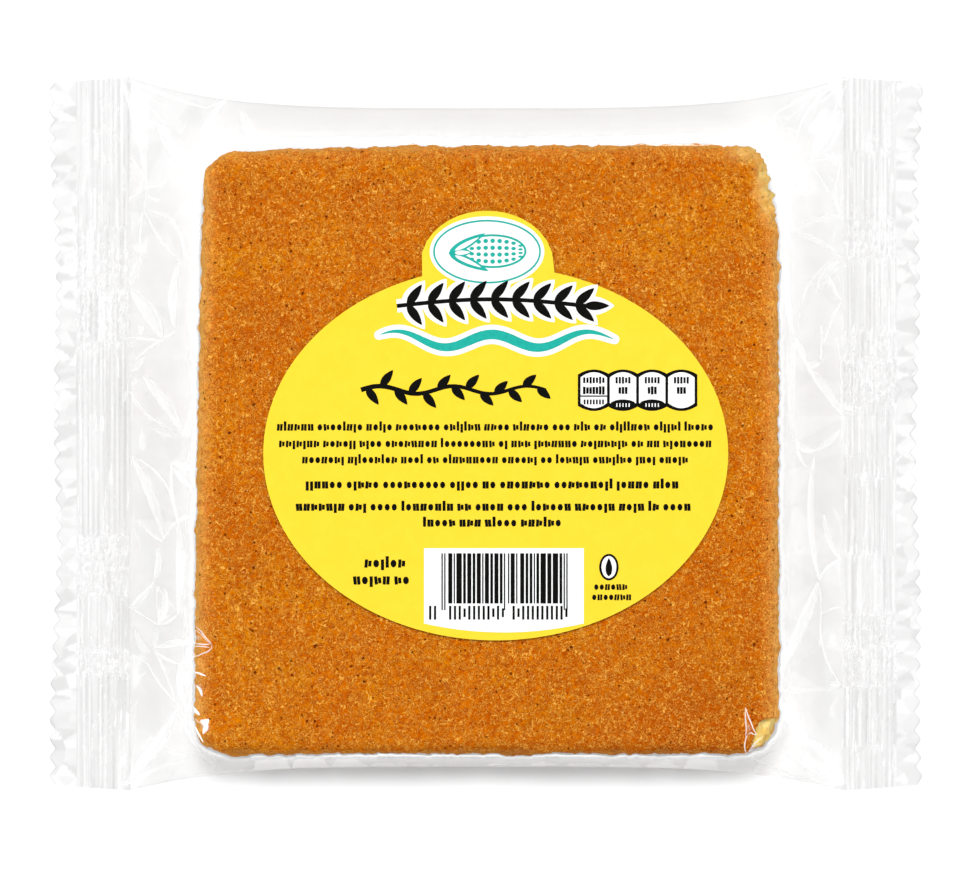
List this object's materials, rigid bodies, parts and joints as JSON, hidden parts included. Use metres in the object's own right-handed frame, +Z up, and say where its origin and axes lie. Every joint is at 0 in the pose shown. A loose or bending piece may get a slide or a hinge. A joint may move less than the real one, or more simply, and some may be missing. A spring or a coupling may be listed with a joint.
{
  "type": "wrapped cornbread square",
  "caption": "Flat square of golden-brown cornbread sealed in clear flow-wrap film with ribbed zigzag end seals and an oval yellow label on its face.",
  "frame": {"origin": "middle of the pack's footprint, on the surface that it lies on", "axes": "+X along the pack from end seal to end seal, +Y towards the label's tab, +Z up out of the label"},
  "size_m": [0.1718, 0.14, 0.0159],
  "materials": {
    "film": "clear glossy packing film, crumpled beside the bread and pressed in ribs at the end seals",
    "label": "smooth yellow label with plain printed fields",
    "crust": "golden-brown baked crust with a fine grain"
  },
  "bodies": {
    "root": {"film_pack": "film", "label": "label"}
  },
  "joints": []
}
